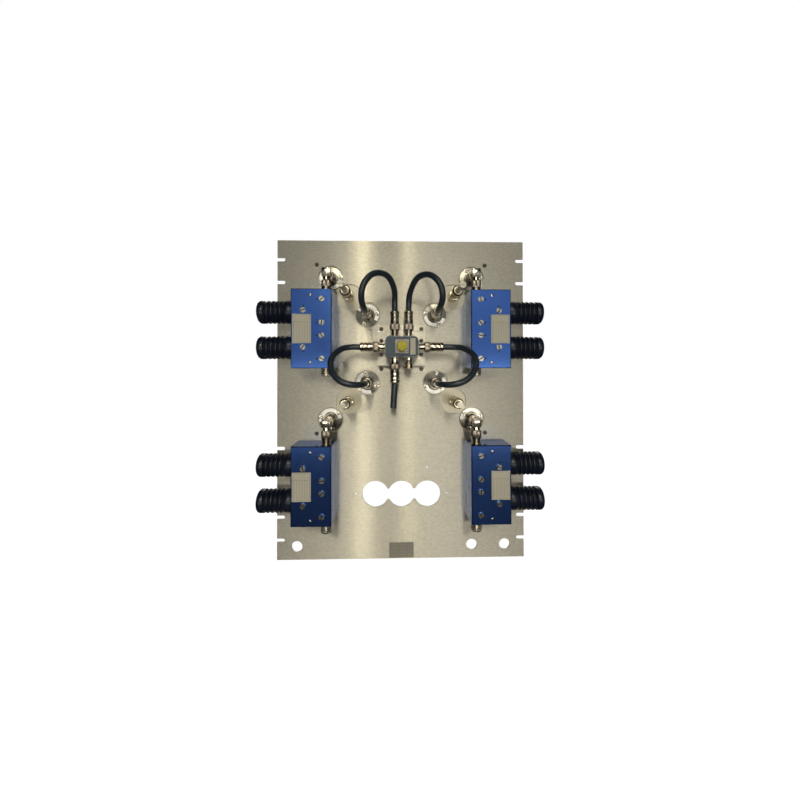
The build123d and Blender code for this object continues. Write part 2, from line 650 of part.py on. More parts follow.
def build_plugs():
    """Cable plugs on the output loops and on five of the junction's side ports."""
    with BuildPart() as cavity_plugs:
        for corner in CORNERS:
            turned(facing(*along_cavity(corner, -LOBE_PITCH), LOOP_PLATE_TOP + JACK_REACH), stack(*CABLE_PLUG))
    cavity_plugs.part.label = "cavity_plugs"
    export_step(cavity_plugs.part, "parts/cavity_plugs.step")

    with BuildPart() as junction_plugs:
        for port in side_ports()[:5]:
            turned(port.offset(PORT_REACH), stack(*CABLE_PLUG))
    junction_plugs.part.label = "junction_plugs"
    export_step(junction_plugs.part, "parts/junction_plugs.step")


def build_stub():
    """A short stub of cable with a moulded end, in the lower left port's plug."""
    port = side_ports()[4].offset(PORT_REACH + PLUG_LENGTH)
    with BuildPart() as stub:
        with BuildSketch(port):
            Circle(STUB_DIAMETER / 2)
        extrude(amount=STUB_LENGTH, dir=port.z_dir.rotate(Axis.Y, STUB_LEAN))
        chamfer(stub.edges().sort_by(Axis.Z)[0], STUB_BEVEL)
    stub.part.label = "cable_stub"
    export_step(stub.part, "parts/cable_stub.step")


def jumper_route(port, corner, leave, between, arrive):
    """A jumper's corners: straight out of the junction's plug, between, and straight into the loop's plug."""
    start = port.offset(PORT_REACH + PLUG_LENGTH)
    end = facing(*along_cavity(corner, -LOBE_PITCH), LOOP_PLATE_TOP + JACK_REACH + PLUG_LENGTH)
    points = [start.origin, start.offset(leave).origin]
    points += [Vector(x, -PANEL_THICKNESS - height, z) for x, height, z in between]
    return points + [end.offset(arrive).origin, end.origin]


def corner_radii(route):
    """For each corner, nearly the largest arc that the shorter of its two runs allows."""
    radii = []
    for before, here, after in zip(route, route[1:], route[2:]):
        arriving, leaving = here - before, after - here
        half_turn = radians(arriving.get_angle(leaving) / 2)
        radii.append(0.45 * min(arriving.length, leaving.length) / tan(half_turn))
    return radii


def build_jumper(name, route):
    """One jumper cable as a tube of straight runs joined by tangent arcs."""
    radii = corner_radii(route)
    with BuildPart() as cable:
        with BuildLine() as path:
            FilletPolyline(*route, radius=radii)
        with BuildSketch(Plane(route[0], z_dir=route[1] - route[0])):
            Circle(CABLE_DIAMETER / 2)
        sweep()
    length = sum(edge.length for edge in path.edges())
    section = pi * CABLE_DIAMETER**2 / 4
    print(name, "length", round(length, 1), "radii", [round(radius, 1) for radius in radii])
    print(name, "volume over section times length", round(cable.part.volume / section / length, 5))
    cable.part.label = name
    export_step(cable.part, f"parts/{name}.step")


def build_jumpers():
    """The four jumpers, each with its straight ends and its own corners of (x, height, z)."""
    for port, corner in zip(side_ports(), CORNERS):
        build_jumper(f"{corner}_jumper", jumper_route(port, corner, *JUMPER_ROUTES[corner]))


build_panel()
for corner in CORNERS:
    build_cavity_can(corner)
    build_end_plate(corner)
    build_tuning_rod(corner)
    build_housing(corner)
build_tuning_seats()
build_loops("input_loops", LOBE_PITCH)
build_loops("output_loops", -LOBE_PITCH)
build_clamp_screws()
build_cavity_screws()
build_elbow_adapters()
build_isolator_labels()
build_isolator_jacks()
build_loads()
build_face_screws("isolator_tuning_screws", TUNING_SCREWS, TUNING_SCREW_DIAMETER, TUNING_SCREW_HEIGHT)
build_face_screws("isolator_cover_screws", COVER_SCREWS, COVER_SCREW_DIAMETER, COVER_SCREW_HEIGHT)
build_bracket()
build_junction()
build_plugs()
build_stub()
build_jumpers()
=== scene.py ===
import bmesh
import bpy
import math
from mathutils import Matrix, Vector


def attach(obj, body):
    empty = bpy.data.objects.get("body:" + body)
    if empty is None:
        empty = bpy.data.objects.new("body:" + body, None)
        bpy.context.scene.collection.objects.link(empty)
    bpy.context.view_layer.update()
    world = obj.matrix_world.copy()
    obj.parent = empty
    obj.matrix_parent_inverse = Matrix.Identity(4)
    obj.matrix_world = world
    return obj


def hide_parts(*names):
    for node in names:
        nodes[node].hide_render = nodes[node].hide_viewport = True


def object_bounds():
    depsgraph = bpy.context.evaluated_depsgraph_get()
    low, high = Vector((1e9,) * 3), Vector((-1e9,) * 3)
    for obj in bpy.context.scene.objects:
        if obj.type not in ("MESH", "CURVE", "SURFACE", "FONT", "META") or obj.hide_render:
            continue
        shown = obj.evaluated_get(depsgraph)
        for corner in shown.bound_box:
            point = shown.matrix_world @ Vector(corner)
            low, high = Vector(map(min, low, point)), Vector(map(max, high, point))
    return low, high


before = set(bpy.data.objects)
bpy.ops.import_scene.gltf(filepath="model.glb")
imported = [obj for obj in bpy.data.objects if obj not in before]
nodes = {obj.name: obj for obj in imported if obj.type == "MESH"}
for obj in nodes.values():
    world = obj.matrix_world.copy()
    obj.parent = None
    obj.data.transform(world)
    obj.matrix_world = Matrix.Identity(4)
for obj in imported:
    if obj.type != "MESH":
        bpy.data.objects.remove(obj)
cad_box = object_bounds()

# Lengths are in millimetres and are scaled once, when a piece is finished.
# X is right, Z is up and -Y is out of the front.
MM = 0.001
PANEL_T = 3.2
CAVITY = 102.0  # from the middle of the four cavities to each one's tuning rod, across and up
MIDDLE = 98.6  # height of that middle
PITCH = 50.8  # from a tuning rod to the loop on either side of it
SCREW_REACH = 88.9  # from a tuning rod to the cavity's screw on either side of it
DIAG = math.cos(math.radians(45))
CORNERS = {"upper_left": (-1, 1), "upper_right": (1, 1), "lower_left": (-1, -1), "lower_right": (1, -1)}
INPUT_X = CAVITY + PITCH * DIAG
LOOP_TOP = -0.2  # height of a loop plate's outer face
LOOP_JACK = 11.0  # from there to the seat of a plug
THREAD_R = 7.95  # every jack's thread
AXIS_H = 39.5  # height of the isolators' jacks
HOUSE_W, HOUSE_H, HOUSE_D = 73.1, 144.2, 50.8
HOUSE_X = INPUT_X - 11.2 + HOUSE_W / 2
LOAD_L, LOAD_R = 64.4, 21.2
LOAD_DOWN = (39.4, 105.6)  # from an isolator's top to its two loads
BLOCK_X, BLOCK_Z, BLOCK_H = 0.4, MIDDLE + 1.8, 31.0
BLOCK_HALF_W, BLOCK_HALF_H, BLOCK_FACE = 29.3, 18.2, 50.0
PORT_STEP = 13  # side ports from the block's middle
PORT = 12.5  # from the block to the seat of a plug
FLANGE = 12.7  # half the side of a square flange
ELBOW_NUT = (2.5, 12.0)  # skirt and fluted band of a coupling nut
PLUG_NUT = (1.6, 9.9)
PLUG_L = 37.0
CABLE_D = 0.0108  # in metres
FRONT, BACK = Vector((0, -1, 0)), Vector((0, 1, 0))
UP, DOWN, RIGHT, LEFT = Vector((0, 0, 1)), Vector((0, 0, -1)), Vector((1, 0, 0)), Vector((-1, 0, 0))


def at(x, z, h):
    """A point at a height above the panel's front."""
    return Vector((x, -PANEL_T - h, z))


def along(corner, reach):
    """X and Z of a point on a cavity's diagonal, at a distance outwards from its tuning rod."""
    a, u = CORNERS[corner]
    return a * (CAVITY + reach * DIAG), MIDDLE + u * (CAVITY + reach * DIAG)


def top_of(corner):
    """Z of an isolator's upper side, which hangs lower below its input loop in the bottom row."""
    return along(corner, PITCH)[1] - (31.8 if CORNERS[corner][1] > 0 else 40.6)


def spoke(degrees):
    """A direction in the panel's plane, counted from the right."""
    t = math.radians(degrees)
    return Vector((math.cos(t), 0, math.sin(t)))


# ---- materials ----
def material(name):
    m = bpy.data.materials.new(name)
    m.use_nodes = True
    nt = m.node_tree
    nt.nodes.clear()
    out = nt.nodes.new("ShaderNodeOutputMaterial")
    sh = nt.nodes.new("ShaderNodeBsdfPrincipled")
    nt.links.new(sh.outputs[0], out.inputs[0])
    return m, nt, sh


def node(nt, kind, **values):
    """A shader node; each value goes to the input or the property of that name."""
    n = nt.nodes.new("ShaderNode" + kind)
    for k, v in values.items():
        if k in n.inputs:
            n.inputs[k].default_value = v
        else:
            setattr(n, k, v)
    return n


def coords(nt, scale=(1, 1, 1)):
    tc = node(nt, "TexCoord")
    mp = node(nt, "Mapping", Scale=scale)
    nt.links.new(tc.outputs["Object"], mp.inputs[0])
    return mp.outputs[0]


def noise(nt, vec, scale, detail, rough):
    n = node(nt, "TexNoise", Scale=scale, Detail=detail, Roughness=rough)
    nt.links.new(vec, n.inputs["Vector"])
    return n.outputs["Fac"]


def ramp(nt, fac, stops):
    r = node(nt, "ValToRGB")
    e = r.color_ramp.elements
    while len(e) < len(stops):
        e.new(0.5)
    for i, (place, colour) in enumerate(stops):
        e[i].position = place
        e[i].color = (*colour, 1)
    nt.links.new(fac, r.inputs[0])
    return r.outputs[0]


def grey(nt, fac, a, b, lo=0.3, hi=0.7):
    """A value that goes from a to b while fac goes from lo to hi."""
    return ramp(nt, fac, [(lo, (a, a, a)), (hi, (b, b, b))])


def mix(nt, fac, a, b, blend_type="MIX"):
    """A mix of two colours; each argument is a number, a colour or a socket."""
    n = node(nt, "Mix", data_type="RGBA", blend_type=blend_type)
    for sock, v in ((n.inputs[0], fac), (n.inputs[6], a), (n.inputs[7], b)):
        if isinstance(v, (float, int)):
            sock.default_value = v
        elif isinstance(v, tuple):
            sock.default_value = (*v, 1)
        else:
            nt.links.new(v, sock)
    return n.outputs[2]


def map_range(nt, value, start, end, low, high):
    n = node(nt, "MapRange")
    for name, v in (("From Min", start), ("From Max", end), ("To Min", low), ("To Max", high)):
        n.inputs[name].default_value = v
    nt.links.new(value, n.inputs[0])
    return n.outputs[0]


def blend(nt, fac, first, second):
    """Sends a mix of two shaders to the tree's output; fac is a number or a socket."""
    both = node(nt, "MixShader")
    if isinstance(fac, float):
        both.inputs[0].default_value = fac
    else:
        nt.links.new(fac, both.inputs[0])
    nt.links.new(first.outputs[0], both.inputs[1])
    nt.links.new(second.outputs[0], both.inputs[2])
    out = next(n for n in nt.nodes if n.type.startswith("OUTPUT"))
    nt.links.new(both.outputs[0], out.inputs[0])


def bump(nt, sh, fac, strength, distance, normal=None):
    b = node(nt, "Bump", Strength=strength, Distance=distance)
    nt.links.new(fac, b.inputs["Height"])
    if normal is not None:
        nt.links.new(normal, b.inputs["Normal"])
    nt.links.new(b.outputs[0], sh.inputs["Normal"])
    return b.outputs[0]


FAINT = 0.000003  # bump distance of plated parts, in metres


def metal(name, colour, rough, grain=(1, 1, 1), scale=900.0, stain=None, mark=0.12, bumpy=0.00001, bare=1.0):
    """Bare or plated metal: fine marks along one direction, faint stains, roughness that follows both."""
    m, nt, sh = material(name)
    fine = noise(nt, coords(nt, grain), scale, 3.0, 0.65)
    wide = noise(nt, coords(nt), 28.0, 4.0, 0.6)
    dark = tuple(c * (1 - mark) for c in colour)
    base = ramp(nt, fine, [(0.25, dark), (0.75, colour)])
    base = mix(nt, grey(nt, wide, 0.0, 0.6, 0.45, 0.75), base, stain or tuple(c * 0.8 for c in colour))
    nt.links.new(base, sh.inputs["Base Color"])
    both = mix(nt, 0.5, grey(nt, fine, rough[0], rough[1]), grey(nt, wide, rough[0], rough[1]))
    nt.links.new(both, sh.inputs["Roughness"])
    sh.inputs["Metallic"].default_value = bare
    bump(nt, sh, fine, 0.35, bumpy)
    return m


def coating(name, colour, shade, rough, coat=0.0, metallic=0.0, bumpy=0.00002, spec=0.5):
    """Paint, plastic or anodising: two tones in soft clouds under an even fine grain."""
    m, nt, sh = material(name)
    wide = noise(nt, coords(nt), 18.0, 3.0, 0.55)
    fine = noise(nt, coords(nt), 1560.0, 2.0, 0.6)
    base = ramp(nt, wide, [(0.3, shade), (0.7, colour)])
    base = mix(nt, grey(nt, fine, 0.0, 0.16), base, tuple(min(1, c * 1.5 + 0.005) for c in colour))
    nt.links.new(base, sh.inputs["Base Color"])
    nt.links.new(grey(nt, fine, rough[0], rough[1]), sh.inputs["Roughness"])
    sh.inputs["Metallic"].default_value = metallic
    sh.inputs["Coat Weight"].default_value = coat
    sh.inputs["Coat Roughness"].default_value = 0.12
    sh.inputs["Specular IOR Level"].default_value = spec
    bump(nt, sh, fine, 0.3, bumpy)
    return m


def brushed(name, shade=1.0):
    """Aluminium plate brushed along X: streaks, an even sparkle, and glints drawn out upwards and down."""
    m, nt, sh = material(name)
    streak = noise(nt, coords(nt, (6, 1, 1300)), 1.0, 4.0, 0.7)
    broad = noise(nt, coords(nt, (2.5, 1, 60)), 1.0, 2.0, 0.5)
    mottle = noise(nt, coords(nt, (0.45, 1, 1.1)), 480.0, 2.0, 0.75)
    cloud = noise(nt, coords(nt, (1, 1, 0.6)), 7.0, 3.0, 0.6)

    def tint(*colour):
        return tuple(c * shade for c in colour)

    base = ramp(nt, streak, [(0.3, tint(0.68, 0.65, 0.55)), (0.7, tint(0.76, 0.72, 0.61))])
    base = mix(nt, grey(nt, mottle, 0.0, 0.75, 0.40, 0.62), base, tint(0.56, 0.53, 0.445))
    base = mix(nt, grey(nt, cloud, 0.0, 0.25, 0.35, 0.7), base, tint(0.62, 0.60, 0.52))
    nt.links.new(base, sh.inputs["Base Color"])
    rough = mix(nt, 0.5, grey(nt, streak, 0.32, 0.40), grey(nt, mottle, 0.31, 0.43))
    nt.links.new(rough, sh.inputs["Roughness"])
    sh.inputs["Metallic"].default_value = 0.66
    sh.inputs["Anisotropic"].default_value = 1.0
    first = bump(nt, sh, streak, 0.25, 0.00002)
    second = bump(nt, sh, broad, 0.10, 0.0002, first)
    third = bump(nt, sh, mottle, 0.5, 0.00002, second)
    # The tangent lies across the brushing, on every side of the sheet.
    geo = node(nt, "NewGeometry")
    cross = node(nt, "VectorMath", operation="CROSS_PRODUCT")
    nt.links.new(geo.outputs["Normal"], cross.inputs[0])
    cross.inputs[1].default_value = (1, 0, 0.001)
    nt.links.new(cross.outputs[0], sh.inputs["Tangent"])
    brush = node(nt, "BsdfAnisotropic", Anisotropy=-0.87)
    nt.links.new(base, brush.inputs["Color"])
    rough = mix(nt, 0.5, grey(nt, streak, 0.36, 0.44), grey(nt, mottle, 0.35, 0.47))
    nt.links.new(rough, brush.inputs["Roughness"])
    nt.links.new(cross.outputs[0], brush.inputs["Tangent"])
    nt.links.new(third, brush.inputs["Normal"])
    blend(nt, 0.6, sh, brush)
    return m


PANEL = brushed("brushed_panel")
# The bracket gets the panel's aluminium made 1.17 times lighter: partly its own paler sheet, partly painted
# light on the raised plateau.
PALE_AND_LIT_SHEET = brushed("bracket_sheet", 1.17)
SPUN = metal("plain_aluminium", (0.74, 0.74, 0.72), (0.25, 0.42), (60, 1400, 60), 1.0, mark=0.16)
END = metal("end_plate", (0.56, 0.525, 0.41), (0.34, 0.48), scale=300.0, mark=0.14, bare=0.7)
NICKEL = metal("nickel", (0.64, 0.585, 0.47), (0.10, 0.17), mark=0.08, bumpy=FAINT)
BRASSY = metal("brass_nickel", (0.60, 0.535, 0.39), (0.12, 0.22), stain=(0.42, 0.36, 0.24), bumpy=FAINT)
SATIN = metal("satin_nickel", (0.42, 0.38, 0.29), (0.34, 0.46), (200, 1, 1400), 1.0, stain=(0.36, 0.32, 0.24),
              mark=0.2, bare=0.7)
KNURL = metal("knurled_nickel", (0.58, 0.50, 0.41), (0.26, 0.40), scale=1500.0, stain=(0.46, 0.385, 0.30),
              bumpy=0.000004)
PLATE = metal("loop_plate", (0.26, 0.245, 0.20), (0.14, 0.22), mark=0.08, bumpy=FAINT)
ROD = metal("steel_rod", (0.42, 0.40, 0.34), (0.28, 0.40), scale=700.0)
STEEL = metal("steel_screws", (0.58, 0.55, 0.48), (0.18, 0.30), scale=700.0)
BOLT = metal("dark_bolts", (0.17, 0.16, 0.14), (0.28, 0.42), scale=700.0)
# Near-black: painted shade on screw slot floors and in cross recesses, and the ink of index dots and scale
# ticks.
RECESS_SHADE_AND_INK = metal("recess_shade_and_ink", (0.05, 0.047, 0.042), (0.5, 0.7))
BLUE = coating("blue_anodised", (0.078, 0.180, 0.54), (0.066, 0.155, 0.48), (0.15, 0.21), metallic=1.0,
               bumpy=0.000004)
BLACK = coating("black_anodised", (0.008, 0.012, 0.025), (0.005, 0.008, 0.017), (0.26, 0.36), spec=0.38)
SLATE = coating("grey_blue_paint", (0.045, 0.075, 0.105), (0.034, 0.058, 0.082), (0.34, 0.46))
YELLOW = coating("yellow_cap", (0.43, 0.37, 0.007), (0.37, 0.32, 0.006), (0.38, 0.5))
CLEAR = coating("clear_cap", (0.93, 0.93, 0.90), (0.86, 0.86, 0.83), (0.10, 0.18), coat=0.2)
CLEAR.node_tree.nodes["Principled BSDF"].inputs["Transmission Weight"].default_value = 0.94
CLEAR.node_tree.nodes["Principled BSDF"].inputs["IOR"].default_value = 1.2
RUBBER = coating("cable_black", (0.018, 0.026, 0.038), (0.014, 0.021, 0.031), (0.27, 0.36), bumpy=0.00004,
                 spec=0.6)
LABEL = coating("label", (0.44, 0.42, 0.34), (0.40, 0.38, 0.305), (0.38, 0.5))
SILVER = coating("silver_label", (0.36, 0.345, 0.29), (0.32, 0.305, 0.255), (0.3, 0.42), metallic=0.3)
INK = coating("label_ink", (0.09, 0.08, 0.075), (0.06, 0.055, 0.05), (0.45, 0.55))
SCALE = metal("engraved_scale", (0.74, 0.73, 0.69), (0.30, 0.42), scale=600.0)


# ---- mesh tools ----
class Piece:
    """One object made of several turned, prismatic and bevelled forms, each with its material."""

    def __init__(self, name):
        self.name = name
        self.bm = bmesh.new()
        self.mats = []

    def index(self, mat):
        if mat not in self.mats:
            self.mats.append(mat)
        return self.mats.index(mat)

    def turn(self, origin, axis, profile, mat, seg=48, teeth=0.0):
        """Turns a (radius, height) profile about axis. With teeth, every other column stands in by that."""
        axis = axis.normalized()
        u = axis.orthogonal().normalized()
        v = axis.cross(u)
        rings = []
        for r, h in profile:
            if r < 1e-6:
                rings.append([self.bm.verts.new(origin + axis * h)])
                continue
            ring = []
            for i in range(seg):
                a = 2 * math.pi * i / seg
                q = r - (teeth if i % 2 else 0.0)
                ring.append(self.bm.verts.new(origin + axis * h + (u * math.cos(a) + v * math.sin(a)) * q))
            rings.append(ring)
        k = self.index(mat)
        for a, b in zip(rings, rings[1:]):
            for i in range(seg):
                j = (i + 1) % seg
                if len(a) == 1 and len(b) == 1:
                    break
                if len(a) == 1:
                    f = (a[0], b[i], b[j])
                elif len(b) == 1:
                    f = (a[i], a[j], b[0])
                else:
                    f = (a[i], a[j], b[j], b[i])
                self.bm.faces.new(f).material_index = k

    def prism(self, origin, axis, across, outline, low, high, mat, bevel=0.0):
        """A prism over a 2D outline. across is the outline's first direction."""
        axis = axis.normalized()
        u = (across - axis * across.dot(axis)).normalized()
        v = axis.cross(u)
        n = len(outline)
        cx = sum(p[0] for p in outline) / n
        cy = sum(p[1] for p in outline) / n
        reach = max(math.hypot(p[0] - cx, p[1] - cy) for p in outline)
        small = 1 - bevel / reach if bevel else 1
        levels = [(low, 1)] + ([(high - bevel, 1), (high, small)] if bevel else [(high, 1)])
        rings = []
        for h, s in levels:
            foot = origin + axis * h
            rings.append([self.bm.verts.new(foot + u * (cx + (x - cx) * s) + v * (cy + (y - cy) * s))
                          for x, y in outline])
        k = self.index(mat)
        for a, b in zip(rings, rings[1:]):
            for i in range(n):
                j = (i + 1) % n
                self.bm.faces.new((a[i], a[j], b[j], b[i])).material_index = k
        self.bm.faces.new(list(reversed(rings[0]))).material_index = k
        self.bm.faces.new(rings[-1]).material_index = k

    def block(self, low, high, mat, bevel, steps=1):
        """A box with all its edges rounded."""
        low, high = Vector(low), Vector(high)
        made = bmesh.ops.create_cube(self.bm, size=1.0)
        size, mid = high - low, (high + low) / 2
        for w in made["verts"]:
            w.co = Vector((w.co.x * size.x, w.co.y * size.y, w.co.z * size.z)) + mid
        edges = list(dict.fromkeys(e for w in made["verts"] for e in w.link_edges))
        faces = [f for w in made["verts"] for f in w.link_faces]
        if bevel:
            done = bmesh.ops.bevel(self.bm, geom=edges, offset=bevel, segments=steps, profile=0.5,
                                   affect="EDGES")
            faces = [f for f in faces if f.is_valid] + list(done["faces"])
        k = self.index(mat)
        for f in faces:
            f.material_index = k

    def done(self, replaces, slot, angle=35.0):
        """Makes the object. Edges sharper than angle stay sharp."""
        bmesh.ops.recalc_face_normals(self.bm, faces=self.bm.faces)
        self.bm.transform(Matrix.Scale(MM, 4))
        me = bpy.data.meshes.new(self.name)
        self.bm.to_mesh(me)
        self.bm.free()
        for m in self.mats:
            me.materials.append(m)
        for p in me.polygons:
            p.use_smooth = True
        me.set_sharp_from_angle(angle=math.radians(angle))
        ob = bpy.data.objects.new(self.name, me)
        bpy.context.scene.collection.objects.link(ob)
        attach(ob, "combiner")
        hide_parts(*replaces)
        return ob


def soft(points, radius=0.4, steps=3):
    """Rounds the corners of a (radius, height) profile."""
    out = [points[0]]
    for a, b, c in zip(points, points[1:], points[2:]):
        p, q, r = Vector(a), Vector(b), Vector(c)
        u, w = p - q, r - q
        k = min(radius, u.length * 0.45, w.length * 0.45)
        if u.length < 1e-6 or w.length < 1e-6 or abs(u.angle(w) - math.pi) < 0.3:
            out.append(b)
            continue
        s, e = q + u.normalized() * k, q + w.normalized() * k
        for i in range(steps + 1):
            t = i / steps
            m = s * (1 - t) ** 2 + q * 2 * t * (1 - t) + e * t ** 2
            out.append((m.x, m.y))
    return out + [points[-1]]


def rect(x0, y0, x1, y1):
    return [(x0, y0), (x1, y0), (x1, y1), (x0, y1)]


def hexagon(flats):
    r = flats / 2 / math.cos(math.pi / 6)
    turns = [math.pi / 3 * i + math.pi / 6 for i in range(6)]
    return [(r * math.cos(t), r * math.sin(t)) for t in turns]


def disc_part(r, half_gap, side, n=14):
    """The part of a disc on one side of a slot, as an outline."""
    a = math.asin(half_gap / r)
    pts = []
    for i in range(n + 1):
        t = a + (math.pi - 2 * a) * i / n
        pts.append((r * math.cos(t), side * r * math.sin(t)))
    return pts if side > 0 else list(reversed(pts))


def thread(low, high, r=THREAD_R, pitch=1.06):
    """Rings of a thread as profile points."""
    pts, h = [], low
    while h < high - pitch * 0.6:
        pts += [(r, h + 0.15 * pitch), (r, h + 0.35 * pitch), (r - 0.45, h + 0.75 * pitch)]
        h += pitch
    return pts


def slotted(piece, origin, axis, r, h, angle, gap, depth, low=0.0):
    """A round steel screw head with a straight slot, gap being half the slot's width; the slot's floor is a
    near-black sheet, painted shade.
    """
    u = axis.orthogonal().normalized()
    u = Matrix.Rotation(math.radians(angle), 3, axis) @ u
    base = h - depth
    bevel = min(0.8, r * 0.16)
    piece.turn(origin, axis, soft([(0, low), (r, low), (r, base), (0, base)], 0.1), STEEL, 28)
    for side in (1, -1):
        piece.prism(origin, axis, u, disc_part(r, gap, side), base - 0.01, h, STEEL, bevel)
    slot = rect(-r * 0.97, -gap, r * 0.97, gap)
    # Painted shade: a near-black sheet at the floor of the slot.
    piece.prism(origin, axis, u, slot, base - 0.5 * gap, base + 0.03, RECESS_SHADE_AND_INK)


def cross_head(piece, origin, axis, r, h, mat, low=0.0):
    """A pan head whose cross recess is drawn as two near-black bars: painted shade, not a cut."""
    piece.turn(origin, axis, soft([(0, low), (r, low), (r, h * 0.55), (r * 0.62, h), (0, h)], 0.5), mat, 28)
    bar = rect(-r * 0.5, -r * 0.11, r * 0.5, r * 0.11)
    # Painted shade: near-black bars stand for the recess.
    for k in (0, 90):
        u = Matrix.Rotation(math.radians(20 + k), 3, axis) @ axis.orthogonal().normalized()
        piece.prism(origin, axis, u, bar, h * 0.6, h + 0.02, RECESS_SHADE_AND_INK)


def rule(piece, x0, z0, x1, z1, low, high):
    """A thin raised line on a label."""
    piece.block(at(x0, z0, high), at(x1, z1, low), INK, 0)


def coupling(piece, origin, axis, nut):
    """A coupling nut: a short bevelled skirt, then a fluted band with bevelled ends."""
    low, high = nut[0], nut[0] + nut[1]
    skirt = [(6.9, 0.5), (7.4, 0), (8.2, 0), (8.9, 0.7), (8.9, low), (8.5, low + 0.2)]
    piece.turn(origin, axis, skirt, NICKEL, 56)
    r = 9.4
    band = [(r - 0.9, low), (r - 0.35, low + 0.1), (r, low + 0.8), (r, high - 1.4), (r - 0.5, high - 0.4),
            (r - 1.9, high)]
    piece.turn(origin, axis, band, KNURL, 72, teeth=0.32)


def plug(piece, origin, axis):
    """A cable plug: coupling nut, long stepped body with a waist, and clamp nut that tapers to the cable."""
    coupling(piece, origin, axis, PLUG_NUT)
    n = sum(PLUG_NUT)
    r = 8.15
    body = [(7.4, n - 0.3), (7.4, n + 1.3), (r, n + 1.9), (r, n + 9.4), (7.7, n + 9.9), (7.7, n + 10.8),
            (r, n + 11.3), (r, n + 17.6), (7.5, n + 18.2), (7.5, n + 18.9)]
    piece.turn(origin, axis, soft(body, 0.3), NICKEL)
    clamp = [(7.5, n + 18.4), (8.1, n + 18.6), (8.7, n + 19.2), (8.7, n + 23.2), (7.9, n + 24.4),
             (6.6, n + 25.45), (5.2, n + 25.45), (5.2, n + 22)]
    piece.turn(origin, axis, soft(clamp, 0.3), NICKEL)
    piece.prism(origin, axis, axis.orthogonal(), hexagon(14.5), n + 18.0, n + 18.9, BRASSY)


def tone(ob_name, mat, bevel=0.0):
    """A CAD node that keeps its form gets its material and rounded edges."""
    ob = nodes[ob_name]
    ob.data.materials.clear()
    ob.data.materials.append(mat)
    if bevel:
        mod = ob.modifiers.new("edges", "BEVEL")
        mod.width = bevel * MM
        mod.segments = 2
        mod.limit_method = "ANGLE"
        mod.angle_limit = math.radians(40)


# ---- the panel, bracket, block, isolators and cavities keep their solids ----
tone("rack_panel", PANEL)
tone("junction_bracket", PALE_AND_LIT_SHEET)
tone("inner_conductors", NICKEL)
for corner in CORNERS:
    tone(corner + "_cavity_can", SPUN)
    tone(corner + "_end_plate", END)
    tone(corner + "_isolator", BLUE, 0.5)
    tone(corner + "_tuning_rod", ROD)
tone("junction_block", SLATE, 0.35)

# ---- dummy loads: a plain collar, five rounded grooves and a flat end with a small socket ----
FIRST_GROOVE, GROOVE_STEP, GROOVES = 14.5, 8.2, 5
GROOVE = ((1.6, 0.9), (3.1, 2.1), (3.4, 2.6), (3.1, 3.1), (1.6, 4.3), (0.35, 5.2), (0, 5.6))  # (depth, place)
r = LOAD_R
prof = [(0, 0), (r - 0.3, 0), (r - 0.3, 2.6), (r, 3.0), (r, 14.1), (r - 0.35, FIRST_GROOVE)]
for i in range(GROOVES):
    h = FIRST_GROOVE + i * GROOVE_STEP
    prof += [(r - deep, h + place) for deep, place in GROOVE]
    if i < GROOVES - 1:
        prof += [(r, h + 7.8), (r - 0.35, h + GROOVE_STEP)]
prof += [(r, LOAD_L - 3.4), (r - 0.4, LOAD_L - 2.6), (r - 1.9, LOAD_L - 0.5), (r - 2.7, LOAD_L)]
prof += [(8.0, LOAD_L), (7.6, LOAD_L - 0.6), (2.8, LOAD_L - 0.7), (2.6, LOAD_L - 1.8), (0, LOAD_L - 1.8)]
loads = Piece("finned_loads")
for corner, (a, _) in CORNERS.items():
    for down in LOAD_DOWN:
        o = at(a * (HOUSE_X + HOUSE_W / 2), top_of(corner) - down, HOUSE_D / 2)
        loads.turn(o, Vector((a, 0, 0)), prof, BLACK, 72)
loads.done(replaces=["dummy_loads"], slot="black_anodised", angle=50)

